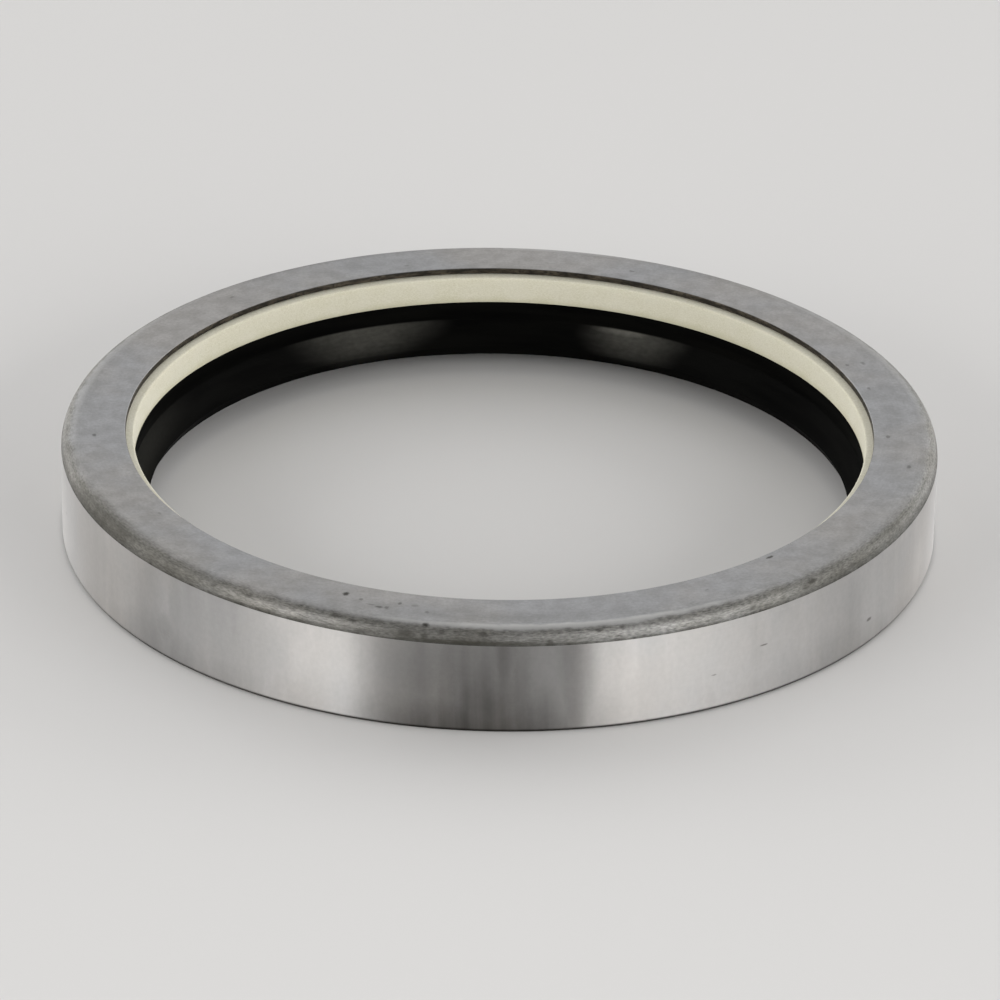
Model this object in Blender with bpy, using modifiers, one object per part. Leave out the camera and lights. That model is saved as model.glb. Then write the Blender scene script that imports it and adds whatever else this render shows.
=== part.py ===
# A metal-cased oil seal with a felt wiper, for a 130 mm shaft in a 160 mm housing bore.
# It stands on its oil side: the axis is Z, and the origin is on it in the plane of the rim.
# Every ring is turned from a section in the XZ plane, in metres, with its radius along X.
import bpy
from math import cos, radians, sin, tan

for old in list(bpy.data.objects):
    bpy.data.objects.remove(old, do_unlink=True)

# Driving dimensions: the place that the seal fills
shaft_diameter = 0.130
radial_section = 0.015
seal_width = 0.020
seat_gap = 0.0003

# Outer case: a drawn steel cup, flanged in over the felt and rolled in at its rim
case_sheet = 0.0011
case_corner = 0.0030
flange_setback = 0.0015
shear_round = 0.00025
rim_sheet = 0.0010
rim_round = 0.0008
rim_width = 0.0036
rim_fillet = 0.0003

# Felt wiper: a cut felt ring that fills the corner under the flange
felt_clearance = 0.00176
felt_height = 0.0048
felt_edge_round = 0.0003

# Lip carrier: a pressed steel angle ring that the rubber is moulded on
carrier_sheet = 0.0012
carrier_corner = 0.0020

# Heel of the sealing lip: the rubber over, round and under the carrier's flange
heel_setback = 0.0003
heel_wall = 0.0030
heel_edge_round = 0.0003
cover_thickness = 0.0008
hook_thickness = 0.0011
hook_length = 0.0025
hook_round = 0.0005

# Head of the sealing lip: the neck, the spring groove, the toe and the contact edge
lip_interference = 0.0008
head_wall = 0.0024
neck_length = 0.00253
neck_turn = 50
groove_rim = 0.0002
groove_top_angle = 72
groove_end_angle = 300
toe_drop = 0.00178
toe_angle = 26.8

# Garter spring: the closed coil ring that draws the lip on to the shaft
spring_coil_diameter = 0.0026
spring_offset = 0.0005

# Fineness of the turned rings
turn_steps = 72
spring_sides = 12
sharp_angle = 35

# Radii that follow
shaft_radius = shaft_diameter / 2
case_radius = shaft_radius + radial_section
case_inner_radius = case_radius - case_sheet
felt_radius = case_inner_radius - seat_gap
felt_bore_radius = shaft_radius + felt_clearance
flange_bore_radius = felt_bore_radius + flange_setback
carrier_radius = case_inner_radius - seat_gap
heel_radius = felt_bore_radius + heel_setback
slot_radius = heel_radius + heel_wall
carrier_bore_radius = slot_radius + seat_gap
contact_radius = shaft_radius - lip_interference
groove_radius = spring_coil_diameter / 2 + seat_gap
spring_radius = contact_radius + head_wall + groove_radius

# Heights that follow, from the flange down to the toe
felt_top = seal_width - case_sheet - seat_gap
felt_bottom = felt_top - felt_height
heel_top = felt_bottom - seat_gap
slot_top = heel_top - cover_thickness
carrier_top = slot_top - seat_gap
slot_bottom = carrier_top - carrier_sheet - seat_gap
heel_bottom = slot_bottom - hook_thickness
groove_rim_height = heel_bottom - neck_length
spring_height = groove_rim_height - groove_rim / 2 - groove_radius * sin(radians(groove_top_angle))
contact_height = spring_height - spring_offset
toe_height = contact_height - toe_drop
carrier_foot = rim_sheet + seat_gap

# The bend of the case, which the felt follows
case_bend = (case_radius - case_corner, seal_width - case_corner)

seal = bpy.data.collections.new("oil_seal")
bpy.context.scene.collection.children.link(seal)


def arc(centre, radius, start, stop, steps):
    # points of the section on an arc, from start to stop degrees, both ends included
    points = []
    for i in range(steps + 1):
        angle = radians(start + (stop - start) * i / steps)
        points.append((centre[0] + radius * cos(angle), centre[1] + radius * sin(angle)))
    return points


def make_material(name, colour, roughness, metallic):
    material = bpy.data.materials.new(name)
    material.use_nodes = True
    shader = material.node_tree.nodes["Principled BSDF"]
    shader.inputs["Base Color"].default_value = (*colour, 1.0)
    shader.inputs["Roughness"].default_value = roughness
    shader.inputs["Metallic"].default_value = metallic
    material.diffuse_color = (*colour, 1.0)
    return material


def finish_mesh(mesh, material):
    mesh.materials.append(material)
    mesh.shade_smooth()
    mesh.set_sharp_from_angle(angle=radians(sharp_angle))


def turn_ring(name, section, material):
    # the section is a closed loop that runs down its outer side and up its inner side
    profile = bpy.data.meshes.new(name + "_section")
    corners = [(radius, 0.0, height) for radius, height in section]
    edges = [(i, (i + 1) % len(section)) for i in range(len(section))]
    profile.from_pydata(corners, edges, [])
    ring = bpy.data.objects.new(name, profile)
    seal.objects.link(ring)
    screw = ring.modifiers.new("turn", "SCREW")
    screw.axis = "Z"
    screw.angle = radians(360)
    screw.steps = turn_steps
    screw.render_steps = turn_steps
    screw.use_merge_vertices = True
    screw.merge_threshold = 0.00001
    turned = ring.evaluated_get(bpy.context.evaluated_depsgraph_get())
    ring.data = bpy.data.meshes.new_from_object(turned)
    ring.modifiers.clear()
    ring.data.name = name
    bpy.data.meshes.remove(profile)
    finish_mesh(ring.data, material)
    return ring


def case_section():
    # one sheet: both sides of the top bend share a centre, and the rim's edge is a half round
    rim_edge = (case_radius - rim_width + rim_sheet / 2, rim_sheet / 2)
    rim_corner = (case_radius - rim_round, rim_round)
    fillet_centre = (case_inner_radius - rim_fillet, rim_sheet + rim_fillet)
    shear_centre = (flange_bore_radius + shear_round, seal_width - shear_round)
    section = arc(case_bend, case_corner, 90, 0, 5)
    section += arc(rim_corner, rim_round, 0, -90, 3)
    section += arc(rim_edge, rim_sheet / 2, -90, -270, 4)
    section += arc(fillet_centre, rim_fillet, -90, 0, 2)
    section += arc(case_bend, case_corner - case_sheet, 0, 90, 4)
    section += [(flange_bore_radius, seal_width - case_sheet)]
    section += arc(shear_centre, shear_round, 180, 90, 2)
    return section


def felt_section():
    edge_centre = (felt_bore_radius + felt_edge_round, felt_top - felt_edge_round)
    section = arc(case_bend, case_corner - case_sheet - seat_gap, 90, 0, 3)
    section += [(felt_radius, felt_bottom), (felt_bore_radius, felt_bottom)]
    section += arc(edge_centre, felt_edge_round, 180, 90, 2)
    return section


def carrier_section():
    # the flange lies in the heel's slot, and the wall stands on the case's rim
    bend = (carrier_radius - carrier_corner, carrier_top - carrier_corner)
    section = [(carrier_bore_radius, carrier_top)]
    section += arc(bend, carrier_corner, 90, 0, 4)
    section += [(carrier_radius, carrier_foot), (carrier_radius - carrier_sheet, carrier_foot)]
    section += arc(bend, carrier_corner - carrier_sheet, 0, 90, 3)
    section += [(carrier_bore_radius, carrier_top - carrier_sheet)]
    return section


def heel_outline():
    # down the cover's end, round the slot that holds the carrier, to the end of the hook
    cover_radius = carrier_radius - carrier_corner - seat_gap
    hook_radius = carrier_bore_radius + hook_length
    section = [(cover_radius, heel_top), (cover_radius, slot_top)]
    section += [(slot_radius, slot_top), (slot_radius, slot_bottom), (hook_radius, slot_bottom)]
    section += arc((hook_radius - hook_round, heel_bottom + hook_round), hook_round, 0, -90, 2)
    return section


def neck_outline(groove_start):
    # a hollow between the hook and the groove's upper rim, level where it leaves the hook
    rim = (groove_start[0] + groove_rim, groove_rim_height)
    turn = radians(neck_turn)
    radius = (heel_bottom - rim[1]) / (1 + sin(turn))
    centre = (rim[0] + radius * cos(turn), heel_bottom - radius)
    return arc(centre, radius, 90, 180 + neck_turn, 6)


def toe_outline(groove_end):
    # the groove's lower rim is a half round that ends level with the toe
    rim_half = (groove_end[1] - toe_height) / 2
    section = arc((groove_end[0], toe_height + rim_half), rim_half, 90, -90, 4)[1:]
    toe_radius = contact_radius + toe_drop * tan(radians(toe_angle))
    section += [(toe_radius, toe_height), (contact_radius, contact_height)]
    return section


def lip_section():
    # heel, neck, spring groove, toe and contact edge in one moulding
    heel_corner = (heel_radius + heel_edge_round, heel_top - heel_edge_round)
    spring_centre = (spring_radius, spring_height)
    groove = arc(spring_centre, groove_radius, groove_top_angle, groove_end_angle, 8)
    section = heel_outline()
    section += neck_outline(groove[0])
    section += groove
    section += toe_outline(groove[-1])
    section += [(heel_radius, heel_bottom)]
    section += arc(heel_corner, heel_edge_round, 180, 90, 2)
    return section


def make_garter_spring(material):
    bpy.ops.mesh.primitive_torus_add(
        location=(0.0, 0.0, spring_height), major_radius=spring_radius,
        minor_radius=spring_coil_diameter / 2, major_segments=turn_steps,
        minor_segments=spring_sides)
    spring = bpy.context.object
    spring.name = "garter_spring"
    spring.data.name = "garter_spring"
    finish_mesh(spring.data, material)
    for home in list(spring.users_collection):
        home.objects.unlink(spring)
    seal.objects.link(spring)
    return spring


case_steel = make_material("case_steel", (0.36, 0.36, 0.37), 0.36, 0.9)
cream_felt = make_material("cream_felt", (0.57, 0.55, 0.44), 0.95, 0.0)
carrier_steel = make_material("carrier_steel", (0.28, 0.27, 0.26), 0.45, 0.9)
black_rubber = make_material("black_rubber", (0.012, 0.012, 0.013), 0.32, 0.0)
spring_steel = make_material("spring_steel", (0.50, 0.49, 0.47), 0.30, 1.0)

turn_ring("outer_case", case_section(), case_steel)
turn_ring("felt_wiper", felt_section(), cream_felt)
turn_ring("lip_carrier", carrier_section(), carrier_steel)
turn_ring("sealing_lip", lip_section(), black_rubber)
make_garter_spring(spring_steel)
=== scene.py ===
# Oil seal: the finished look of its five rings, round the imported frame
from math import atan2, cos, pi, radians, sin, tan

import bpy
import bmesh
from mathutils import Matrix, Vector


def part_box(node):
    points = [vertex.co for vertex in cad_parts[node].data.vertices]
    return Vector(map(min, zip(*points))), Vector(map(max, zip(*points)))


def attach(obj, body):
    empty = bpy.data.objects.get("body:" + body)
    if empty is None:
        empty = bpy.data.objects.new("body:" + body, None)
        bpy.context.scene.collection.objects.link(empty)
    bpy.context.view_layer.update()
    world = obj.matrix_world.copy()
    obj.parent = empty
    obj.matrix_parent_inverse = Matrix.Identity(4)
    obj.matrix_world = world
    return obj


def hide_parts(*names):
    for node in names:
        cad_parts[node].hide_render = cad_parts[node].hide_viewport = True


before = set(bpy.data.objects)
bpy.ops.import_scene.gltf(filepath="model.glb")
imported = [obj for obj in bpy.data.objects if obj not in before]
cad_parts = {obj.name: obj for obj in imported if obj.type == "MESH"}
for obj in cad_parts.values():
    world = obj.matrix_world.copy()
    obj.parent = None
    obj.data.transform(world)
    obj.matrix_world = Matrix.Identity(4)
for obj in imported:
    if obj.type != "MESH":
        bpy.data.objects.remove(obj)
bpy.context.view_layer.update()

print("Frame loaded")

mm = 0.001
toDegrees = 180 / pi
mergeGap = 1e-6    # vertices nearer than this are doubles
caseLow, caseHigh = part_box("outer_case")
feltLow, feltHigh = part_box("felt_wiper")
carrierLow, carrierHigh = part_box("lip_carrier")
lipLow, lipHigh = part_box("sealing_lip")
springLow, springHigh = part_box("garter_spring")


# Modelling helpers

def deselectAll():
    if bpy.context.object and bpy.context.object.mode != "OBJECT":
        bpy.ops.object.mode_set(mode="OBJECT")
    bpy.ops.object.select_all(action="DESELECT")


def selectOnly(piece):
    deselectAll()
    piece.select_set(True)
    bpy.context.view_layer.objects.active = piece


def arcPoints(centre, radius, start, stop, steps):
    # points (radius, height) on an arc of a section, angles in degrees
    turn = [radians(start + (stop - start) * i / steps) for i in range(steps + 1)]
    return [(centre[0] + radius * cos(a), centre[1] + radius * sin(a)) for a in turn]


def straightPoints(start, stop, steps):
    # points between two corners, without either of them
    across, up = stop[0] - start[0], stop[1] - start[1]
    shares = [i / steps for i in range(1, steps)]
    return [(start[0] + across * t, start[1] + up * t) for t in shares]


def closeSkin(gap):
    # merges doubles, turns the faces outwards and goes back to object mode
    bpy.ops.mesh.select_all(action="SELECT")
    bpy.ops.mesh.remove_doubles(threshold=gap)
    bpy.ops.mesh.normals_make_consistent(inside=False)
    bpy.ops.object.mode_set(mode="OBJECT")


def drawSection(name, points):
    # a plane merged to one vertex, then extruded from point to point and closed
    deselectAll()
    bpy.ops.mesh.primitive_plane_add(size=0.01)
    piece = bpy.context.object
    piece.name = name
    piece.data.name = name
    bpy.ops.object.mode_set(mode="EDIT")
    bpy.ops.mesh.select_mode(type="VERT")
    bpy.ops.mesh.select_all(action="SELECT")
    bpy.ops.mesh.merge(type="CENTER")
    bpy.ops.transform.translate(value=(points[0][0], 0, points[0][1]))
    for here, there in zip(points, points[1:] + points[:1]):
        step = (there[0] - here[0], 0, there[1] - here[1])
        bpy.ops.mesh.extrude_vertices_move(TRANSFORM_OT_translate={"value": step})
    bpy.ops.mesh.select_all(action="SELECT")
    bpy.ops.mesh.remove_doubles(threshold=mergeGap)
    return piece


def turnSection(name, points, steps):
    # spins a closed section once round Z and leaves the ring in object mode
    piece = drawSection(name, points)
    bpy.ops.mesh.select_all(action="SELECT")
    bpy.ops.mesh.spin(steps=steps, angle=2 * pi, center=(0, 0, 0), axis=(0, 0, 1))
    closeSkin(mergeGap)
    return piece


def applyModifiers(piece):
    selectOnly(piece)
    for modifier in list(piece.modifiers):
        bpy.ops.object.modifier_apply(modifier=modifier.name)


def smoothPiece(piece, angle):
    selectOnly(piece)
    bpy.ops.object.shade_smooth_by_angle(angle=radians(angle))


def assignFaces(piece, index, test):
    # gives material slot `index` to the faces whose centre radius and height pass the test
    selectOnly(piece)
    bpy.ops.object.mode_set(mode="EDIT")
    bpy.ops.mesh.select_mode(type="FACE")
    bpy.ops.mesh.select_all(action="DESELECT")
    shape = bmesh.from_edit_mesh(piece.data)
    for face in shape.faces:
        centre = face.calc_center_median()
        face.select = test(centre.xy.length / mm, centre.z / mm)
    bmesh.update_edit_mesh(piece.data)
    piece.active_material_index = index
    bpy.ops.object.material_slot_assign()
    bpy.ops.object.mode_set(mode="OBJECT")


# Shader helpers

def grey(level):
    return (level, level, level)


def addNode(tree, kind, place, **settings):
    node = tree.nodes.new(kind)
    node.location = place
    for key, value in settings.items():
        setattr(node, key, value)
    return node


def fillSocket(tree, socket, value):
    # links an output to an input, or sets the input to a number or a colour
    if isinstance(value, bpy.types.NodeSocket):
        tree.links.new(value, socket)
    elif isinstance(value, tuple):
        socket.default_value = (*value, 1)
    else:
        socket.default_value = value


def fillByName(tree, node, values):
    # the same for several inputs, under their names with _ for spaces
    for key, value in values.items():
        fillSocket(tree, node.inputs[key.replace("_", " ")], value)


def addMath(tree, place, operation, *values, clamp=False):
    # a Math node whose inputs are sockets or numbers
    node = addNode(tree, "ShaderNodeMath", place, operation=operation, use_clamp=clamp)
    for socket, value in zip(node.inputs, values):
        fillSocket(tree, socket, value)
    return node.outputs[0]


def addSwing(tree, place, noise, width):
    # a noise's value, made to swing round 0 in place of round a half
    return addMath(tree, place, "MULTIPLY_ADD", noise, width, -width / 2)


def addMix(tree, place, factor, first, second, blend="MIX"):
    # a colour Mix node: factor is a socket or a number, colours are sockets or tuples
    node = addNode(tree, "ShaderNodeMix", place, data_type="RGBA", blend_type=blend)
    for index, value in ((0, factor), (6, first), (7, second)):
        fillSocket(tree, node.inputs[index], value)
    return node.outputs[2]


def addTint(tree, place, share, colour, value, low, high):
    # multiplies a share of the colour by a shade between low and high, which the value mixes
    shade = addMix(tree, (place[0] - 180, place[1] - 220), value, low, high)
    return addMix(tree, place, share, colour, shade, "MULTIPLY")


def addFade(tree, place, value, start, stop, first, last, kind="SMOOTHSTEP"):
    # goes from `first` to `last` while the value goes from `start` to `stop`
    node = addNode(tree, "ShaderNodeMapRange", place, interpolation_type=kind)
    fillByName(tree, node, {"Value": value, "From Min": start, "From Max": stop,
                            "To Min": first, "To Max": last})
    return node.outputs[0]


def addMmPlace(tree):
    # Object coordinates in millimetres
    place = addNode(tree, "ShaderNodeTexCoord", (-900, 200))
    scaled = addNode(tree, "ShaderNodeVectorMath", (-700, 200), operation="SCALE")
    scaled.inputs["Scale"].default_value = 1 / mm
    tree.links.new(place.outputs["Object"], scaled.inputs[0])
    return scaled.outputs[0]


def startGroup(name, inputs, outputs):
    # inputs are (name, default) pairs, outputs are names
    group = bpy.data.node_groups.new(name, "ShaderNodeTree")
    for label, value in inputs:
        socket = group.interface.new_socket(label, in_out="INPUT", socket_type="NodeSocketFloat")
        socket.default_value = value
    for label in outputs:
        group.interface.new_socket(label, in_out="OUTPUT", socket_type="NodeSocketFloat")
    entry = addNode(group, "NodeGroupInput", (-1100, 0))
    leave = addNode(group, "NodeGroupOutput", (700, 0))
    return group, entry.outputs, leave.inputs


def placeGroup(tree, group, place, **values):
    # a group node, its inputs filled with numbers or sockets
    node = addNode(tree, "ShaderNodeGroup", place, node_tree=group)
    fillByName(tree, node, values)
    return node


def makeRingMap():
    # where a point lies on the ring: degrees round from the front, and millimetres
    group, _, leave = startGroup("ringMap", [], ["Angle", "Radius", "Height"])
    place = addNode(group, "ShaderNodeTexCoord", (-700, 0))
    axes = addNode(group, "ShaderNodeSeparateXYZ", (-500, 0))
    group.links.new(place.outputs["Object"], axes.inputs[0])
    x, y, z = axes.outputs
    back = addMath(group, (-300, 200), "MULTIPLY", y, -1.0)
    turn = addMath(group, (-100, 200), "ARCTAN2", x, back)
    angle = addMath(group, (100, 200), "MULTIPLY", turn, toDegrees)
    xSquare = addMath(group, (-300, 0), "MULTIPLY", x, x)
    ySquare = addMath(group, (-300, -150), "MULTIPLY", y, y)
    total = addMath(group, (-100, 0), "ADD", xSquare, ySquare)
    root = addMath(group, (100, 0), "SQRT", total)
    radius = addMath(group, (300, 0), "MULTIPLY", root, 1 / mm)
    height = addMath(group, (300, -200), "MULTIPLY", z, 1 / mm)
    for socket, value in zip(leave, (angle, radius, height)):
        group.links.new(value, socket)
    return group


def makeRingPatch():
    # a soft oval patch at an angle round the ring and a place across it, roughened by noise
    inputs = [("Angle", 0), ("Across", 0), ("Centre Angle", 0), ("Centre Across", 0),
              ("Half Angle", 1), ("Half Across", 1), ("Softness", 0.3), ("Ragged", 0)]
    group, give, leave = startGroup("ringPatch", inputs, ["Mask"])
    squares = []
    for label, row in (("Angle", 200), ("Across", 0)):
        off = addMath(group, (-700, row), "SUBTRACT", give[label], give["Centre " + label])
        share = addMath(group, (-500, row), "DIVIDE", off, give["Half " + label])
        squares.append(addMath(group, (-300, row), "MULTIPLY", share, share))
    total = addMath(group, (-100, 100), "ADD", *squares)
    reach = addMath(group, (50, 100), "SQRT", total)
    ragged = addMath(group, (200, 100), "ADD", reach, give["Ragged"])
    inner = addMath(group, (200, -100), "SUBTRACT", 1.0, give["Softness"])
    outer = addMath(group, (200, -250), "ADD", 1.0, give["Softness"])
    fade = addFade(group, (450, 0), ragged, inner, outer, 1, 0)
    group.links.new(fade, leave["Mask"])
    return group


def makeMottle():
    # clouds at so many per millimetre, with their contrast set by Low and High
    inputs = [("Scale", 1), ("Detail", 4), ("Low", 0.3), ("High", 0.7), ("Stretch", 1)]
    group, give, leave = startGroup("mottle", inputs, ["Mask", "Value"])
    stretch = addNode(group, "ShaderNodeCombineXYZ", (-700, 0))
    fillByName(group, stretch, {"X": 1, "Y": 1, "Z": give["Stretch"]})
    drawn = addNode(group, "ShaderNodeVectorMath", (-500, 100), operation="MULTIPLY")
    group.links.new(addMmPlace(group), drawn.inputs[0])
    group.links.new(stretch.outputs[0], drawn.inputs[1])
    clouds = addNode(group, "ShaderNodeTexNoise", (-300, 100))
    fillByName(group, clouds, {"Vector": drawn.outputs[0], "Scale": give["Scale"],
                               "Detail": give["Detail"]})
    mask = addFade(group, (100, 100), clouds.outputs[0], give["Low"], give["High"], 0, 1)
    group.links.new(mask, leave["Mask"])
    group.links.new(clouds.outputs[0], leave["Value"])
    return group


def makeToolLines():
    # lines and streaks that change with the value given, and elsewhere only as fast as Wander says
    inputs = [("Across", 0), ("Lines", 10), ("Wander", 0.02)]
    group, give, leave = startGroup("toolLines", inputs, ["Value"])
    drift = addNode(group, "ShaderNodeVectorMath", (-500, 200), operation="SCALE")
    fillByName(group, drift, {"Vector": addMmPlace(group), "Scale": give["Wander"]})
    step = addMath(group, (-500, 0), "MULTIPLY", give["Across"], give["Lines"])
    lift = addNode(group, "ShaderNodeCombineXYZ", (-300, 0))
    fillByName(group, lift, {"Z": step})
    total = addNode(group, "ShaderNodeVectorMath", (-100, 100), operation="ADD")
    group.links.new(drift.outputs[0], total.inputs[0])
    group.links.new(lift.outputs[0], total.inputs[1])
    lines = addNode(group, "ShaderNodeTexNoise", (100, 100))
    fillByName(group, lines, {"Vector": total.outputs[0], "Scale": 1, "Detail": 3})
    group.links.new(lines.outputs[0], leave["Value"])
    return group


ringMap = makeRingMap()
ringPatch = makeRingPatch()
mottle = makeMottle()
toolLines = makeToolLines()


def startMaterial(name, roughness, metallic):
    material = bpy.data.materials.new(name)
    material.use_nodes = True
    tree = material.node_tree
    shader = tree.nodes["Principled BSDF"]
    fillByName(tree, shader, {"Roughness": roughness, "Metallic": metallic})
    return material, tree, shader


def addBump(tree, place, height, distance, normal=None):
    bump = addNode(tree, "ShaderNodeBump", place)
    fillByName(tree, bump, {"Distance": distance, "Strength": 1.0, "Height": height})
    if normal is not None:
        tree.links.new(normal, bump.inputs["Normal"])
    return bump.outputs[0]


def addRamp(tree, place, factor, stops):
    # a Color Ramp with a colour at each position
    ramp = addNode(tree, "ShaderNodeValToRGB", place)
    elements = ramp.color_ramp.elements
    elements[0].position = stops[0][0]
    elements[1].position = stops[-1][0]
    for position, colour in stops[1:-1]:
        elements.new(position)
    for element, (position, colour) in zip(elements, stops):
        element.color = (*colour, 1)
    tree.links.new(factor, ramp.inputs[0])
    return ramp.outputs[0]


def addPatches(tree, places, angle, across, ragged, softness):
    # the strongest of several patches, each (angle, across, half angle, half across, strength)
    strongest = None
    for i, (turn, place, halfTurn, halfPlace, strength) in enumerate(places):
        row = -600 - 220 * i
        patch = placeGroup(tree, ringPatch, (-900, row), Angle=angle, Across=across,
                           Centre_Angle=turn, Centre_Across=place, Half_Angle=halfTurn,
                           Half_Across=halfPlace, Softness=softness, Ragged=ragged)
        mask = addMath(tree, (-700, row), "MULTIPLY", patch.outputs[0], strength)
        if strongest is None:
            strongest = mask
        else:
            strongest = addMath(tree, (-500, row), "MAXIMUM", strongest, mask)
    return strongest


# Outer case: ground outside, as drawn on the flange and corner, sheared at the bore

case = {
    "outside": caseHigh.x, "width": caseHigh.z - caseLow.z, "sheet": 1.1 * mm,
    "corner": 3.0 * mm, "bore": 68.26 * mm, "shearRound": 0.25 * mm,
    "rimRound": 0.8 * mm, "rimSheet": 1.0 * mm, "rimWidth": 3.6 * mm, "rimFillet": 0.3 * mm,
    "steps": 360, "sharp": 28,
    "groundWarm": (0.505, 0.489, 0.472), "groundCool": (0.468, 0.462, 0.457),
    # the last colour on the next line is a painted contact shadow for the foot of the wall
    "groundRoughness": 0.30, "nick": (0.10, 0.095, 0.085), "footShadow": (0.022, 0.020, 0.016),
    "footShadowFrom": 0.40, "footShadowTo": 0.95, "oilAndShadowShare": 0.96,    # heights in mm of the painted contact shadow at the wall's foot, and how dense it is
    "drawnWarm": (0.310, 0.301, 0.290), "drawnCool": (0.294, 0.295, 0.298),
    "drawnRoughness": 0.52, "grime": (0.050, 0.048, 0.040), "shade": (0.085, 0.082, 0.070),
    # the first colour on the next line is a painted highlight for the ridge of the bend
    "paintedHighlight": (0.52, 0.515, 0.50), "speck": (0.045, 0.042, 0.036),
    "shearDark": (0.016, 0.013, 0.009), "shearBrown": (0.075, 0.062, 0.044),
    "shearPit": (0.012, 0.010, 0.007),
}
# In the lists of marks each has its angle from the front in degrees, its place across (named
# below), half its size in each of these two, and its strength.
# Dark spots on the flange, placed by radius in mm
flangeSpecks = [
    (-21.3, 72.1, 0.40, 0.62, 1.00), (-18.8, 73.0, 0.26, 0.40, 0.45),
    (-15.8, 74.6, 0.50, 0.36, 0.60), (-14.8, 74.5, 0.28, 0.44, 0.50),
    (-17.0, 74.2, 0.60, 0.18, 0.35), (-13.4, 72.4, 0.26, 0.42, 0.60),
    (-11.2, 72.5, 0.60, 0.40, 0.25), (-9.3, 74.4, 0.28, 0.42, 0.40),
    (43.5, 69.6, 0.60, 0.32, 0.90), (113.5, 70.4, 0.40, 0.30, 0.40),
    (113.2, 73.5, 0.50, 0.35, 0.40), (105.0, 70.6, 0.40, 0.30, 0.40),
    (88.5, 70.9, 0.45, 0.35, 0.50), (79.3, 75.4, 0.50, 0.35, 0.50),
    (-136.0, 73.8, 0.50, 0.30, 0.30), (-84.7, 74.0, 0.45, 0.35, 0.60),
    (30.0, 73.1, 0.30, 0.20, 0.30), (-58.0, 71.0, 0.35, 0.25, 0.30),
    (160.0, 72.4, 0.40, 0.30, 0.40), (-165.0, 71.2, 0.35, 0.30, 0.30),
]
# Wide smudges of grime over the corner, placed in degrees round its bend
cornerSmudges = [
    (-61, 34, 15, 38, 0.80), (-64, 50, 15, 24, 0.46), (-46, 29, 11, 31, 0.70),
    (-30, 7, 18, 9, 0.46), (-36, 36, 8, 16, 0.34), (-78, 44, 10, 28, 0.40),
    (50, 27, 13, 30, 0.68), (63, 38, 13, 32, 0.58), (78, 42, 12, 32, 0.36),
    (36, 26, 9, 22, 0.34), (-8, 22, 12, 26, 0.64), (-17, 50, 10, 14, 0.22),
    (2, 14, 9, 20, 0.44), (150, 50, 30, 34, 0.40), (-140, 50, 34, 34, 0.40),
    (112, 48, 22, 34, 0.30), (-4, 9, 11, 13, 0.85),
]
# Darker spots in that grime, placed the same way
cornerSpecks = [
    (-8.9, 62, 0.36, 8, 0.90), (-11.3, 27, 0.90, 13, 0.50), (-8.9, 23, 0.45, 10, 0.55),
    (-18.3, 43, 0.60, 5, 0.70), (-20.7, 50, 0.60, 7, 0.50), (-1.5, 38, 0.50, 9, 0.55),
    (44.0, 37, 0.80, 8, 0.80), (42.8, 30, 0.60, 8, 0.50), (51.6, 26, 0.70, 8, 0.40),
    (-6.9, 40, 0.35, 6, 0.50), (12.9, 44, 0.45, 6, 0.45), (-16.9, 14, 0.50, 8, 0.50),
    (6.7, 10, 0.40, 9, 0.60), (16.0, 48, 0.45, 6, 0.45), (34.0, 22, 0.50, 7, 0.40),
    (-33.0, 40, 0.70, 6, 0.50), (-38.5, 34, 0.50, 8, 0.40), (120.0, 40, 0.50, 8, 0.50),
    (-112.0, 30, 0.60, 8, 0.50), (165.0, 46, 0.50, 8, 0.50),
]
# A painted highlight along the ridge at the top of the bend, placed the same way
ridgeHighlights = [
    (9, 71, 23, 12, 0.80), (-110, 80, 26, 12, 0.25), (120, 80, 24, 12, 0.25),
    (178, 80, 20, 12, 0.30),
]
# Faint darker zones on the flange, placed by radius in mm
flangeShades = [
    (-4, 74.3, 15, 1.7, 0.16), (-26, 73.5, 12, 2.2, 0.10), (-58, 73.8, 16, 2.0, 0.10),
    (55, 74.2, 14, 1.8, 0.10), (96, 73.0, 16, 2.0, 0.07), (-150, 73.0, 20, 2.2, 0.06),
]
# Nicks and faint stripes on the ground wall, placed by height in mm
wallMarks = [
    (35.8, 10.2, 0.55, 0.16, 0.70), (55.8, 5.1, 0.50, 0.30, 0.80),
    (28.4, 7.0, 0.35, 0.15, 0.50), (-47.0, 6.5, 1.60, 2.40, 0.16),
    (52.0, 8.5, 2.20, 6.00, 0.10), (-120.0, 11.0, 0.60, 0.20, 0.50),
    (150.0, 6.0, 0.50, 0.25, 0.50), (-78.0, 9.0, 0.40, 0.18, 0.40),
    (-6.1, 8.0, 0.90, 12.0, 0.16), (-3.7, 11.0, 0.60, 10.0, 0.12),
    (-9.0, 9.0, 1.50, 14.0, 0.10), (3.2, 9.0, 1.00, 13.0, 0.13),
    (-50.0, 8.0, 2.40, 12.0, 0.10), (-45.0, 9.0, 1.00, 12.0, 0.08),
]
# Wider places where the wall is darker, in fine upright streaks, placed by height in mm
wallDarkStreaks = [
    (-2.0, -2.0, 12.0, 8.0, 1.00), (-1.0, 2.0, 4.5, 11.0, 0.85), (1.0, 9.0, 1.2, 30.0, 0.60),
    (-8.0, 8.0, 5.0, 7.0, 0.32), (10.2, 9.0, 1.8, 30.0, 0.50), (-4.5, 7.0, 3.0, 9.0, 0.50),
    (-37.0, 8.0, 8.0, 24.0, 0.25), (-46.0, -1.0, 22.0, 7.0, 0.42),
    (-62.0, 6.0, 9.0, 12.0, 0.25), (62.0, 9.0, 9.0, 24.0, 0.30),
    (58.0, -1.0, 16.0, 7.0, 0.42), (140.0, 9.0, 14.0, 24.0, 0.20),
    (-125.0, 9.0, 16.0, 24.0, 0.20),
]
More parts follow.
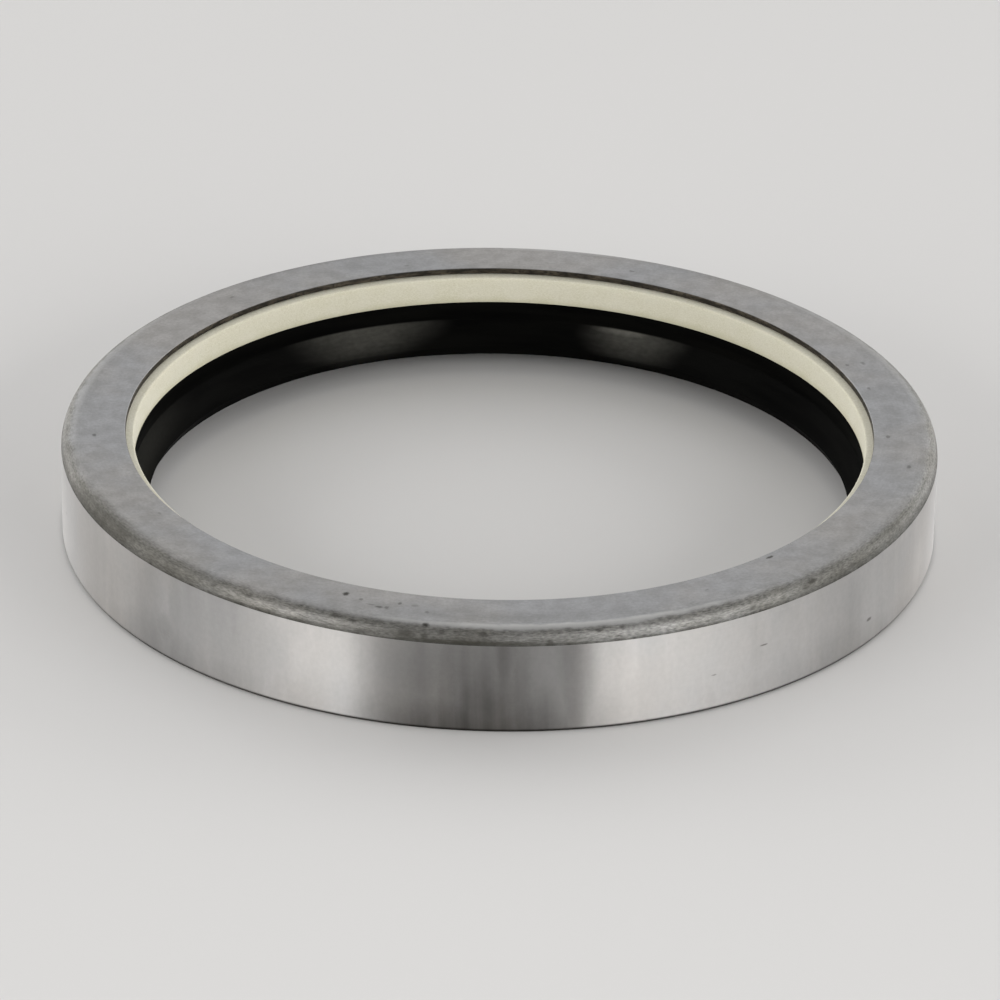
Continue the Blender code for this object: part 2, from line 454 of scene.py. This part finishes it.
# Scale and dried oil over the bend, its steps across the bend partly painted reflection: share of
# a half turn round it, how dense the coat is there
coatAndReflectionDensity = [
    (0.00, 0.78), (0.02, 0.72), (0.06, 0.54), (0.11, 0.58), (0.16, 0.50), (0.24, 0.60),
    (0.28, 0.66), (0.33, 0.50), (0.38, 0.22), (0.46, 0.10), (0.58, 0.07), (0.74, 0.0),
]
# The coat's colour, its darker and lighter bands partly painted reflection, at the same kind of
# share
coatAndReflectionColours = [
    (0.00, (0.052, 0.049, 0.041)), (0.02, (0.060, 0.057, 0.048)),
    (0.06, (0.098, 0.093, 0.079)), (0.11, (0.105, 0.099, 0.085)),
    (0.16, (0.172, 0.163, 0.145)), (0.20, (0.172, 0.163, 0.145)),
    (0.25, (0.125, 0.119, 0.103)), (0.34, (0.135, 0.129, 0.113)),
]


def makeGroundSteel():
    material, tree, shader = startMaterial("groundSteel", case["groundRoughness"], 1.0)
    fillByName(tree, shader, {"Anisotropic": 1.0, "Anisotropic Rotation": 0.25})
    where = placeGroup(tree, ringMap, (-1500, 0))
    angle, height = where.outputs["Angle"], where.outputs["Height"]
    bendHeight = (case["width"] - case["corner"]) / mm
    cloud = placeGroup(tree, mottle, (-1300, 500),
                       Scale=0.045, Detail=5, Low=0.35, High=0.65, Stretch=0.6)
    haze = placeGroup(tree, mottle, (-1300, 300),
                      Scale=0.16, Detail=4, Low=0.42, High=0.70, Stretch=0.5)
    grain = placeGroup(tree, mottle, (-1300, 100),
                       Scale=1.3, Detail=4, Low=0.3, High=0.7, Stretch=0.7)
    edge = placeGroup(tree, mottle, (-1300, -100), Scale=2.2, Detail=3, Low=0.2, High=0.8)
    grind = placeGroup(tree, toolLines, (-1300, -300), Across=height, Lines=7, Wander=0.04)
    streak = placeGroup(tree, toolLines, (-1300, -500), Across=angle, Lines=0.28, Wander=0.008)
    fine = placeGroup(tree, toolLines, (-1300, -700), Across=angle, Lines=0.6, Wander=0.02)
    steel = addMix(tree, (-900, 500), cloud.outputs["Mask"],
                   case["groundWarm"], case["groundCool"])
    # soft upright streaks that come and go, then grain and the wheel's own lines
    share = addMath(tree, (-900, 300), "MULTIPLY", haze.outputs["Mask"], 0.55)
    streaked = addTint(tree, (-700, 500), share, steel, streak.outputs[0],
                       (0.35, 0.35, 0.355), (1.65, 1.64, 1.63))
    grained = addTint(tree, (-500, 500), 0.16, streaked, grain.outputs["Value"],
                      grey(0.5), grey(1.5))
    fresh = addTint(tree, (-300, 500), 0.10, grained, grind.outputs[0], grey(0.7), grey(1.3))
    # a little duller towards the bend
    rise = addMath(tree, (-300, 150), "DIVIDE", height, bendHeight)
    settled = addTint(tree, (-100, 500), 1.0, fresh, rise, grey(1.13), grey(0.90))
    # darker streaked places, then nicks
    drift = addSwing(tree, (-1100, -700), haze.outputs["Value"], width=0.8)
    darkStreakMask = addPatches(tree, wallDarkStreaks, angle, height, drift, softness=0.9)
    darkStreaked = addTint(tree, (100, 500), darkStreakMask, settled, fine.outputs[0],
                      (0.12, 0.115, 0.11), (0.62, 0.61, 0.59))
    ragged = addSwing(tree, (-1100, -500), edge.outputs["Value"], width=0.9)
    marks = addPatches(tree, wallMarks, angle, height, ragged, softness=0.5)
    marked = addMix(tree, (300, 500), marks, darkStreaked, case["nick"])
    # painted contact shadow round the lower edge
    foot = addFade(tree, (300, 200), height, case["footShadowFrom"], case["footShadowTo"], case["oilAndShadowShare"], 0)
    edged = addMix(tree, (500, 500), foot, marked, case["footShadow"])
    rough = addMath(tree, (100, 150), "MULTIPLY_ADD", cloud.outputs["Mask"],
                    0.03, case["groundRoughness"])
    normal = addBump(tree, (-400, -100), grind.outputs[0], 0.0006 * mm)
    normal = addBump(tree, (-200, -100), grain.outputs["Value"], 0.0015 * mm, normal)
    fillByName(tree, shader, {"Base Color": edged, "Roughness": rough, "Normal": normal})
    return material


def makeDrawnSteel():
    material, tree, shader = startMaterial("drawnSteel", case["drawnRoughness"], 1.0)
    where = placeGroup(tree, ringMap, (-1900, 0))
    angle, radius, height = where.outputs
    # place round the bend in degrees: 0 at the wall, 90 where the flange begins
    inward = addMath(tree, (-1700, -200), "SUBTRACT", radius,
                     (case["outside"] - case["corner"]) / mm)
    upward = addMath(tree, (-1700, -350), "SUBTRACT", height,
                     (caseHigh.z - case["corner"]) / mm)
    turn = addMath(tree, (-1500, -300), "ARCTAN2", upward, inward)
    bend = addMath(tree, (-1350, -300), "MULTIPLY", turn, toDegrees)
    cloud = placeGroup(tree, mottle, (-1200, 700), Scale=0.035, Detail=4, Low=0.38, High=0.62)
    blot = placeGroup(tree, mottle, (-1200, 500), Scale=0.30, Detail=4, Low=0.32, High=0.68)
    grain = placeGroup(tree, mottle, (-1200, 300), Scale=1.7, Detail=5, Low=0.3, High=0.7)
    lines = placeGroup(tree, toolLines, (-1200, 100), Across=radius, Lines=3.5, Wander=0.12)
    film = placeGroup(tree, mottle, (-1200, -450), Scale=0.22, Detail=2, Low=0.25, High=0.75)
    scale = placeGroup(tree, toolLines, (-1200, -650), Across=bend, Lines=0.17, Wander=1.15)
    crumb = placeGroup(tree, mottle, (-1200, -850), Scale=2.5, Detail=2, Low=0.2, High=0.8)
    steel = addMix(tree, (-900, 700), cloud.outputs["Mask"],
                   case["drawnWarm"], case["drawnCool"])
    toned = addTint(tree, (-700, 700), 1.0, steel, blot.outputs["Mask"],
                    (0.90, 0.90, 0.89), grey(1.07))
    grained = addTint(tree, (-500, 700), 0.60, toned, grain.outputs["Value"],
                      grey(0.66), grey(1.34))
    brushed = addTint(tree, (-300, 700), 0.25, grained, lines.outputs[0],
                      grey(0.75), grey(1.25))
    # the coat on the bend: dense just over the ground wall, thin at the flange's edge; its bands
    # across the bend are partly painted reflection
    fray = addSwing(tree, (-1000, -450), blot.outputs["Value"], width=22)
    frayed = addMath(tree, (-1000, -300), "ADD", bend, fray)
    share = addMath(tree, (-850, -300), "DIVIDE", frayed, 180)
    density = addRamp(tree, (-700, -300), share, [(at, grey(level)) for at, level in coatAndReflectionDensity])
    tone = addRamp(tree, (-700, -550), share, coatAndReflectionColours)
    patchy = addMath(tree, (-750, -800), "MULTIPLY_ADD", film.outputs["Mask"], 0.30, 0.85)
    banded = addMath(tree, (-300, -300), "MULTIPLY", density, patchy)
    loose = addSwing(tree, (-1000, -800), film.outputs["Value"], width=0.8)
    smudges = addPatches(tree, cornerSmudges, angle, bend, loose, softness=0.8)
    blotted = addMath(tree, (-300, -500), "MULTIPLY", smudges, patchy)
    total = addMath(tree, (-150, -400), "MAXIMUM", banded, blotted, clamp=True)
    coatAndReflection = addMix(tree, (-100, 700), total, brushed, tone)
    crusty = addMath(tree, (-150, -200), "MULTIPLY", total, 1.6, clamp=True)
    stained = addTint(tree, (100, 700), crusty, coatAndReflection, scale.outputs["Value"],
                      grey(-0.45), (2.40, 2.40, 2.37))
    dirt = addMath(tree, (0, -500), "MULTIPLY", blotted, 0.9)
    grimy = addMix(tree, (300, 700), dirt, stained, case["grime"])
    # shades on the flange, the painted highlight on the ridge, and spots last
    shades = addPatches(tree, flangeShades, angle, radius, loose, softness=0.8)
    shaded = addMix(tree, (500, 700), shades, grimy, case["shade"])
    highlightMask = addPatches(tree, ridgeHighlights, angle, frayed, loose, softness=0.6)
    paintedHighlight = addMix(tree, (700, 700), highlightMask, shaded, case["paintedHighlight"])
    uneven = addSwing(tree, (-1000, -1000), crumb.outputs["Value"], width=1.2)
    specks = addPatches(tree, flangeSpecks, angle, radius, uneven, softness=0.5)
    spots = addPatches(tree, cornerSpecks, angle, bend, uneven, softness=0.7)
    dots = addMath(tree, (700, 400), "MAXIMUM", specks, spots)
    marked = addMix(tree, (900, 700), dots, paintedHighlight, case["speck"])
    rough = addMath(tree, (200, 100), "MULTIPLY_ADD", total, 0.14, case["drawnRoughness"])
    scaly = addMath(tree, (-100, -150), "MULTIPLY", scale.outputs["Value"], total)
    normal = addBump(tree, (-300, 0), grain.outputs["Value"], 0.006 * mm)
    normal = addBump(tree, (-100, 0), lines.outputs[0], 0.004 * mm, normal)
    normal = addBump(tree, (100, 0), scaly, 0.010 * mm, normal)
    fillByName(tree, shader, {"Base Color": marked, "Roughness": rough, "Normal": normal})
    return material


def makeShearedSteel():
    material, tree, shader = startMaterial("shearedSteel", 0.5, 0.7)
    dash = placeGroup(tree, mottle, (-900, 300),
                      Scale=0.30, Detail=5, Low=0.35, High=0.68, Stretch=5)
    pit = placeGroup(tree, mottle, (-900, 50),
                     Scale=1.6, Detail=3, Low=0.45, High=0.7, Stretch=1.5)
    brown = addMix(tree, (-500, 300), dash.outputs["Mask"], case["shearDark"], case["shearBrown"])
    pitted = addMix(tree, (-300, 250), pit.outputs["Mask"], brown, case["shearPit"])
    normal = addBump(tree, (-300, 0), dash.outputs["Value"], 0.06 * mm)
    fillByName(tree, shader, {"Base Color": pitted, "Normal": normal})
    return material


def makeOuterCase():
    outside, width, sheet, bore = case["outside"], case["width"], case["sheet"], case["bore"]
    bend = (outside - case["corner"], width - case["corner"])
    rimRound, rimHalf = case["rimRound"], case["rimSheet"] / 2
    rimEnd = outside - case["rimWidth"] + rimHalf
    fillet = (outside - sheet - case["rimFillet"], case["rimSheet"] + case["rimFillet"])
    shear = (bore + case["shearRound"], width - case["shearRound"])
    points = arcPoints(bend, case["corner"], 90, 0, steps=12)
    points += [(outside, width / 2)]
    points += arcPoints((outside - rimRound, rimRound), rimRound, 0, -90, steps=6)
    points += arcPoints((rimEnd, rimHalf), rimHalf, -90, -270, steps=8)
    points += arcPoints(fillet, case["rimFillet"], -90, 0, steps=3)
    points += arcPoints(bend, case["corner"] - sheet, 0, 90, steps=8)
    points += [(bore, width - sheet)]
    points += arcPoints(shear, case["shearRound"], 180, 90, steps=4)
    piece = turnSection("outerCase", points, case["steps"])
    for material in (makeDrawnSteel(), makeGroundSteel(), makeShearedSteel()):
        piece.data.materials.append(material)
    wallFrom, wallTop, shearTo = outside / mm - 0.2, bend[1] / mm, bore / mm + 0.1
    assignFaces(piece, 1, lambda r, z: r > wallFrom and z < wallTop)
    assignFaces(piece, 2, lambda r, z: r < shearTo)
    smoothPiece(piece, case["sharp"])
    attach(piece, "root")
    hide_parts("outer_case")
    print("Outer case turned")


# Felt wiper: the cream ring under the flange

felt = {
    "outside": feltHigh.x, "top": feltHigh.z, "bottom": feltLow.z - 0.27 * mm,
    "bore": 66.76 * mm, "cornerRound": 1.6 * mm, "edgeRound": 0.35 * mm, "footRound": 0.1 * mm,
    "rows": 8, "steps": 480, "sharp": 50,
    "wool": (0.570, 0.542, 0.428), "woolShade": (0.540, 0.512, 0.382),
    "fibre": (0.635, 0.610, 0.495), "oil": (0.43, 0.41, 0.25), "oilBelow": 0.8, "oilAbove": 0.9,
    "oilFray": 1.4, "oilAndShadowShare": 0.45,    # millimetres, and how dense it is
}


def makeCreamFelt():
    material, tree, shader = startMaterial("creamFelt", 0.95, 0.0)
    fillByName(tree, shader, {"Sheen Weight": 0.25, "Specular IOR Level": 0.2})
    height = placeGroup(tree, ringMap, (-1100, 0)).outputs["Height"]
    fibre = placeGroup(tree, mottle, (-900, 300),
                       Scale=3.0, Detail=6, Low=0.3, High=0.7, Stretch=2.0)
    cloud = placeGroup(tree, mottle, (-900, 100), Scale=0.25, Detail=4, Low=0.3, High=0.7)
    wool = addMix(tree, (-500, 300), cloud.outputs["Mask"], felt["wool"], felt["woolShade"])
    hairy = addMix(tree, (-300, 300), fibre.outputs["Mask"], wool, felt["fibre"])
    # oil drawn up from the lip along the lower edge
    fray = addMath(tree, (-700, -200), "MULTIPLY", cloud.outputs["Value"], felt["oilFray"])
    reach = addMath(tree, (-500, -200), "SUBTRACT", height, fray)
    foot = felt["bottom"] / mm
    wet = addFade(tree, (-300, -200), reach, foot - felt["oilBelow"], foot + felt["oilAbove"],
                  felt["oilAndShadowShare"], 0)
    oily = addMix(tree, (-100, 300), wet, hairy, felt["oil"])
    normal = addBump(tree, (-300, 0), fibre.outputs["Value"], 0.06 * mm)
    fillByName(tree, shader, {"Base Color": oily, "Normal": normal})
    return material


def makeFeltRing():
    outside, top, bottom, bore = felt["outside"], felt["top"], felt["bottom"], felt["bore"]
    corner = (outside - felt["cornerRound"], top - felt["cornerRound"])
    edge = (bore + felt["edgeRound"], top - felt["edgeRound"])
    foot = (bore + felt["footRound"], bottom + felt["footRound"])
    points = arcPoints(corner, felt["cornerRound"], 90, 0, steps=4)
    points += [(outside, bottom)]
    points += arcPoints(foot, felt["footRound"], -90, -180, steps=3)
    points += straightPoints((bore, foot[1]), (bore, edge[1]), felt["rows"])
    points += arcPoints(edge, felt["edgeRound"], 180, 90, steps=3)
    points += straightPoints((edge[0], top), (corner[0], top), 4)
    piece = turnSection("feltRing", points, felt["steps"])
    piece.data.materials.append(makeCreamFelt())
    smoothPiece(piece, felt["sharp"])
    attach(piece, "root")
    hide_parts("felt_wiper")
    print("Felt ring cut")


# Lip carrier: the pressed angle ring inside the case

carrier = {
    "outside": carrierHigh.x, "top": carrierHigh.z, "foot": carrierLow.z, "bore": 70.36 * mm,
    "sheet": 1.2 * mm, "corner": 2.0 * mm, "steps": 240, "sharp": 30,
    "pale": (0.32, 0.31, 0.30), "dull": (0.22, 0.21, 0.195),
}


def makeCarrierSteel():
    material, tree, shader = startMaterial("carrierSteel", 0.42, 0.95)
    height = placeGroup(tree, ringMap, (-1100, 0)).outputs["Height"]
    cloud = placeGroup(tree, mottle, (-900, 300), Scale=0.2, Detail=5, Low=0.35, High=0.65)
    lines = placeGroup(tree, toolLines, (-900, 0), Across=height, Lines=4, Wander=0.05)
    steel = addMix(tree, (-400, 300), cloud.outputs["Mask"], carrier["pale"], carrier["dull"])
    normal = addBump(tree, (-300, 0), lines.outputs[0], 0.01 * mm)
    fillByName(tree, shader, {"Base Color": steel, "Normal": normal})
    return material


def makeCarrierRing():
    outside, top, sheet = carrier["outside"], carrier["top"], carrier["sheet"]
    bend = (outside - carrier["corner"], top - carrier["corner"])
    points = [(carrier["bore"], top)]
    points += arcPoints(bend, carrier["corner"], 90, 0, steps=8)
    points += [(outside, carrier["foot"]), (outside - sheet, carrier["foot"])]
    points += arcPoints(bend, carrier["corner"] - sheet, 0, 90, steps=6)
    points += [(carrier["bore"], top - sheet)]
    piece = turnSection("carrierRing", points, carrier["steps"])
    piece.data.materials.append(makeCarrierSteel())
    smoothPiece(piece, carrier["sharp"])
    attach(piece, "root")
    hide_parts("lip_carrier")
    print("Carrier pressed")


# Garter spring: one turn of wire, repeated and bent round the groove

spring = {
    "coil": springHigh.z - springLow.z, "height": (springLow.z + springHigh.z) / 2,
    "radius": springHigh.x - (springHigh.z - springLow.z) / 2, "wire": 0.5 * mm,
    "turns": 850, "turnSteps": 10, "sides": 5, "mergeGap": 0.02 * mm, "sharp": 60,
    "pathSteps": 128, "bright": (0.50, 0.49, 0.47), "dull": (0.36, 0.34, 0.31),
}


def makeSpringSteel():
    material, tree, shader = startMaterial("springSteel", 0.3, 1.0)
    cloud = placeGroup(tree, mottle, (-900, 300), Scale=0.4, Detail=4, Low=0.35, High=0.65)
    steel = addMix(tree, (-400, 300), cloud.outputs["Mask"], spring["bright"], spring["dull"])
    fillByName(tree, shader, {"Base Color": steel})
    return material


def makeGarterSpring():
    deselectAll()
    bpy.ops.curve.primitive_bezier_circle_add(radius=spring["radius"],
                                              location=(0, 0, spring["height"]))
    path = bpy.context.object
    length = path.data.splines[0].calc_length(resolution=spring["pathSteps"])
    path.data.resolution_u = spring["pathSteps"]
    pitch = length / spring["turns"]
    bpy.ops.mesh.primitive_circle_add(vertices=spring["sides"], radius=spring["wire"] / 2,
                                      rotation=(pi / 2, 0, 0))
    piece = bpy.context.object
    piece.name = "garterSpring"
    piece.data.name = "garterSpring"
    bpy.ops.object.transform_apply(location=False, rotation=True, scale=False)
    bpy.ops.object.mode_set(mode="EDIT")
    bpy.ops.mesh.select_all(action="SELECT")
    bpy.ops.transform.translate(value=((spring["coil"] - spring["wire"]) / 2, 0, 0))
    bpy.ops.object.mode_set(mode="OBJECT")
    turn = piece.modifiers.new("turn", "SCREW")
    turn.screw_offset = pitch
    turn.steps = spring["turnSteps"]
    turn.render_steps = spring["turnSteps"]
    coil = piece.modifiers.new("coil", "ARRAY")
    coil.count = spring["turns"]
    coil.use_relative_offset = False
    coil.use_constant_offset = True
    coil.constant_offset_displace = (0, 0, pitch)
    coil.use_merge_vertices = True
    coil.merge_threshold = mergeGap
    ring = piece.modifiers.new("ring", "CURVE")
    ring.object = path
    ring.deform_axis = "POS_Z"
    applyModifiers(piece)
    bpy.ops.object.mode_set(mode="EDIT")
    bpy.ops.mesh.select_mode(type="VERT")
    closeSkin(spring["mergeGap"])
    bpy.data.objects.remove(path)
    piece.data.materials.append(makeSpringSteel())
    smoothPiece(piece, spring["sharp"])
    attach(piece, "root")
    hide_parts("garter_spring")
    print("Garter spring wound")


# Sealing lip: heel, neck, spring groove, toe and contact edge in one moulding

lip = {
    "contact": 64.2 * mm, "contactHeight": 5.15 * mm, "heelRadius": 67.06 * mm,
    "heelTop": lipHigh.z, "crease": 9.8 * mm, "cover": 0.8 * mm, "coverRadius": lipHigh.x,
    "slot": 1.8 * mm, "slotRadius": 70.06 * mm, "hookRadius": 72.86 * mm,
    "hookRound": 0.5 * mm, "edgeRound": 0.3 * mm, "creaseRound": 0.8 * mm,
    "toeDrop": 1.78 * mm, "toeAngle": 26.8, "neckLength": 2.53 * mm, "neckTurn": 50,
    "grooveRadius": 1.6 * mm, "grooveRim": 0.2 * mm, "grooveTop": 72, "grooveEnd": 300,
    "steps": 360, "sharp": 25, "shine": 0.012, "black": (0.0012, 0.0012, 0.0011),
    # the last colour on the next line is a painted sheen for the smears
    "bloom": (0.0028, 0.0028, 0.0024), "smearSheen": (0.120, 0.117, 0.102),
    "sheenBelow": 0.1, "sheenAbove": 0.3,    # millimetres under and over the crease
}
# Dull smears on the rubber, their sheen painted in as a lighter grey, placed by height in mm
lipSmearSheen = [
    (-156.5, 9.3, 8.5, 3.4, 0.40), (159.2, 9.6, 4.2, 0.8, 0.80), (157.2, 9.3, 6.0, 3.2, 0.42),
    (-100.0, 8.6, 12.0, 2.4, 0.10), (70.0, 8.6, 12.0, 2.4, 0.12), (10.0, 8.8, 14.0, 2.6, 0.14),
]


def makeBlackRubber():
    material, tree, shader = startMaterial("blackRubber", 0.5, 0.0)
    fillByName(tree, shader, {"Specular IOR Level": lip["shine"]})
    where = placeGroup(tree, ringMap, (-1300, 0))
    angle, height = where.outputs["Angle"], where.outputs["Height"]
    cloud = placeGroup(tree, mottle, (-900, 500),
                       Scale=0.05, Detail=4, Low=0.30, High=0.70, Stretch=9)
    bloom = placeGroup(tree, mottle, (-900, 300),
                       Scale=0.8, Detail=4, Low=0.30, High=0.70, Stretch=2)
    lines = placeGroup(tree, toolLines, (-900, 50), Across=height, Lines=2.2, Wander=0.10)
    black = addMix(tree, (-400, 400), cloud.outputs["Mask"], lip["black"], lip["bloom"])
    loose = addSwing(tree, (-700, 200), cloud.outputs["Value"], width=0.8)
    smearSheenMask = addPatches(tree, lipSmearSheen, angle, height, loose, softness=0.85)
    # the painted sheen stops at the crease under the heel
    crease = lip["crease"] / mm
    below = addFade(tree, (-400, 50), height, crease - lip["sheenBelow"],
                    crease + lip["sheenAbove"], 1, 0)
    lower = addMath(tree, (-300, 200), "MULTIPLY", smearSheenMask, below)
    dull = addMath(tree, (-400, 200), "MULTIPLY_ADD", bloom.outputs["Value"], 0.8, 0.6)
    share = addMath(tree, (-200, 200), "MULTIPLY", lower, dull, clamp=True)
    sheened = addMix(tree, (0, 400), share, black, lip["smearSheen"])
    rough = addMath(tree, (-200, 50), "MULTIPLY_ADD", cloud.outputs["Mask"], -0.10, 0.54)
    normal = addBump(tree, (-300, -100), lines.outputs[0], 0.02 * mm)
    fillByName(tree, shader, {"Base Color": sheened, "Roughness": rough, "Normal": normal})
    return material


def makeSealingLip():
    heel, heelTop, crease = lip["heelRadius"], lip["heelTop"], lip["crease"]
    slotTop = heelTop - lip["cover"]
    slotBottom = slotTop - lip["slot"]
    contact = (lip["contact"], lip["contactHeight"])
    toeHeight = contact[1] - lip["toeDrop"]
    points = [(lip["coverRadius"], heelTop), (lip["coverRadius"], slotTop)]
    points += [(lip["slotRadius"], slotTop), (lip["slotRadius"], slotBottom)]
    points += [(lip["hookRadius"], slotBottom)]
    hook = (lip["hookRadius"] - lip["hookRound"], crease + lip["hookRound"])
    points += arcPoints(hook, lip["hookRound"], 0, -90, steps=4)
    # the neck curves in to the top of the spring's groove
    groove = arcPoints((spring["radius"], spring["height"]), lip["grooveRadius"],
                       lip["grooveTop"], lip["grooveEnd"], steps=24)
    turn = radians(lip["neckTurn"])
    neckRadius = lip["neckLength"] / (1 + sin(turn))
    neck = (groove[0][0] + lip["grooveRim"] + neckRadius * cos(turn), crease - neckRadius)
    points += arcPoints(neck, neckRadius, 90, 180 + lip["neckTurn"], steps=14)
    points += groove
    rimRadius, rimHeight = groove[-1]
    rimHalf = (rimHeight - toeHeight) / 2
    points += arcPoints((rimRadius, toeHeight + rimHalf), rimHalf, 90, -90, steps=8)[1:]
    # toe, contact edge, and the slope up to the rounded crease
    toe = (contact[0] + lip["toeDrop"] * tan(radians(lip["toeAngle"])), toeHeight)
    points += [toe, contact]
    slope = pi / 2 - atan2(crease - contact[1], heel - contact[0])
    reach = lip["creaseRound"] * tan(slope / 2)
    fillet = (heel - lip["creaseRound"], crease + reach)
    points += arcPoints(fillet, lip["creaseRound"], -slope * toDegrees, 0, steps=6)
    heelCorner = (heel + lip["edgeRound"], heelTop - lip["edgeRound"])
    points += arcPoints(heelCorner, lip["edgeRound"], 180, 90, steps=4)
    piece = turnSection("sealingLip", points, lip["steps"])
    piece.data.materials.append(makeBlackRubber())
    smoothPiece(piece, lip["sharp"])
    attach(piece, "root")
    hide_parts("sealing_lip")
    print("Sealing lip moulded")


# Floor, lights and camera

studio = {
    "floorSize": 12.0, "floorColour": (0.68, 0.67, 0.655),
    "frontGrey": (0.11, 0.11, 0.113), "backGrey": (0.80, 0.80, 0.81),
    "greyFrom": -0.7, "greyTo": 0.75, "greyLean": 0.12,
    "cameraDistance": 1.2185, "cameraHeight": 27.061, "cameraRoll": 1.005, "sensor": 36,
    "focalPixels": 6620.9, "shiftRight": -1.87, "shiftDown": 23.06, "frame": 1000,
}
# turn is the angle round from the camera. Across a panel, from its side nearest to the camera or
# the other if mirrored, the glow is full up to `full` and then falls off to `fade` squared.
# Upwards it falls to `topFade`, from `topFrom` of the panel's height.
plainPanel = {"full": 1.0, "fade": 1.0, "topFrom": 0.3, "topFade": 0.7, "mirrored": False}
softboxes = [
    {**plainPanel, "name": "leftBox", "turn": -64.5, "height": 18, "distance": 1.8,
     "size": (2.205, 1.05), "glow": 6.6, "full": 0.12, "fade": 0.385, "mirrored": True},
    {**plainPanel, "name": "rightBox", "turn": 61, "height": 18, "distance": 1.8,
     "size": (2.91, 1.05), "glow": 5.65, "full": 0.34, "fade": 0.36},
    {**plainPanel, "name": "leftRim", "turn": -126, "height": 17, "distance": 1.95,
     "size": (1.875, 1.05), "glow": 2.7},
    {**plainPanel, "name": "rightRim", "turn": 126, "height": 17, "distance": 1.95,
     "size": (1.875, 1.05), "glow": 2.7},
    {**plainPanel, "name": "backBox", "turn": 180, "height": 42, "distance": 2.4,
     "size": (3, 1.8), "glow": 0.35, "topFade": 1.0},
]


def makeFloor():
    deselectAll()
    bpy.ops.mesh.primitive_plane_add(size=studio["floorSize"])
    floor = bpy.context.object
    floor.name = "floor"
    material, tree, shader = startMaterial("palePaper", 0.9, 0.0)
    fillByName(tree, shader, {"Base Color": studio["floorColour"], "Specular IOR Level": 0.0})
    floor.data.materials.append(material)


def addSoftbox(box):
    # glow is the panel's radiance: 1 shows as white
    turn, height = radians(box["turn"]), radians(box["height"])
    level = box["distance"] * cos(height)
    place = (level * sin(turn), -level * cos(turn), box["distance"] * sin(height))
    deselectAll()
    bpy.ops.object.light_add(type="AREA", location=place, rotation=(pi / 2 - height, 0, turn))
    lamp = bpy.context.object
    lamp.name = box["name"]
    lamp.data.shape = "RECTANGLE"
    lamp.data.size, lamp.data.size_y = box["size"]
    lamp.data.energy = box["glow"] * pi * box["size"][0] * box["size"][1]
    lamp.data.use_nodes = True
    tree = lamp.data.node_tree
    panel = addNode(tree, "ShaderNodeNewGeometry", (-900, 0))
    axes = addNode(tree, "ShaderNodeSeparateXYZ", (-700, 0))
    tree.links.new(panel.outputs["Parametric"], axes.inputs[0])
    across, up = axes.outputs[0], axes.outputs[1]
    if box["mirrored"]:
        across = addMath(tree, (-500, 100), "SUBTRACT", 1.0, across)
    # 1.001 keeps the range open where `full` is 1
    fall = addFade(tree, (-300, 0), across, box["full"], 1.001, 1, box["fade"], "LINEAR")
    rise = addFade(tree, (-300, -300), up, box["topFrom"], 1, 1, box["topFade"], "LINEAR")
    square = addMath(tree, (-200, 0), "MULTIPLY", fall, fall)
    strength = addMath(tree, (-100, 0), "MULTIPLY", square, rise)
    tree.links.new(strength, tree.nodes["Emission"].inputs["Strength"])
    lamp.visible_camera = False


def lightStudio():
    # the room beyond the panels: dark grey in front of the ring, pale grey behind it
    world = bpy.data.worlds.new("studio")
    bpy.context.scene.world = world
    world.use_nodes = True
    tree = world.node_tree
    way = addNode(tree, "ShaderNodeTexCoord", (-900, 0))
    axes = addNode(tree, "ShaderNodeSeparateXYZ", (-700, 0))
    tree.links.new(way.outputs["Generated"], axes.inputs[0])
    back, up = axes.outputs[1], axes.outputs[2]
    over = addMath(tree, (-500, -100), "MULTIPLY", up, studio["greyLean"])
    lean = addMath(tree, (-350, 0), "SUBTRACT", back, over)
    share = addFade(tree, (-200, 0), lean, studio["greyFrom"], studio["greyTo"], 0, 1)
    shade = addMix(tree, (0, 0), share, studio["frontGrey"], studio["backGrey"])
    tree.links.new(shade, tree.nodes["Background"].inputs[0])
    for box in softboxes:
        addSoftbox(box)
    bpy.context.scene.view_settings.view_transform = "Standard"
    print("Studio lit")


def placeCamera():
    lift = radians(studio["cameraHeight"])
    distance, frameSize = studio["cameraDistance"], studio["frame"]
    deselectAll()
    bpy.ops.object.camera_add(location=(0, -distance * cos(lift), distance * sin(lift)),
                              rotation=(pi / 2 - lift, 0, 0))
    camera = bpy.context.object
    camera.rotation_euler.rotate_axis("Z", radians(studio["cameraRoll"]))
    camera.data.sensor_width = studio["sensor"]
    camera.data.lens = studio["focalPixels"] * studio["sensor"] / frameSize
    camera.data.shift_x = -studio["shiftRight"] / frameSize
    camera.data.shift_y = studio["shiftDown"] / frameSize
    bpy.context.scene.camera = camera
    print("Camera placed")


makeOuterCase()
makeFeltRing()
makeCarrierRing()
makeSealingLip()
makeGarterSpring()
makeFloor()
lightStudio()
placeCamera()
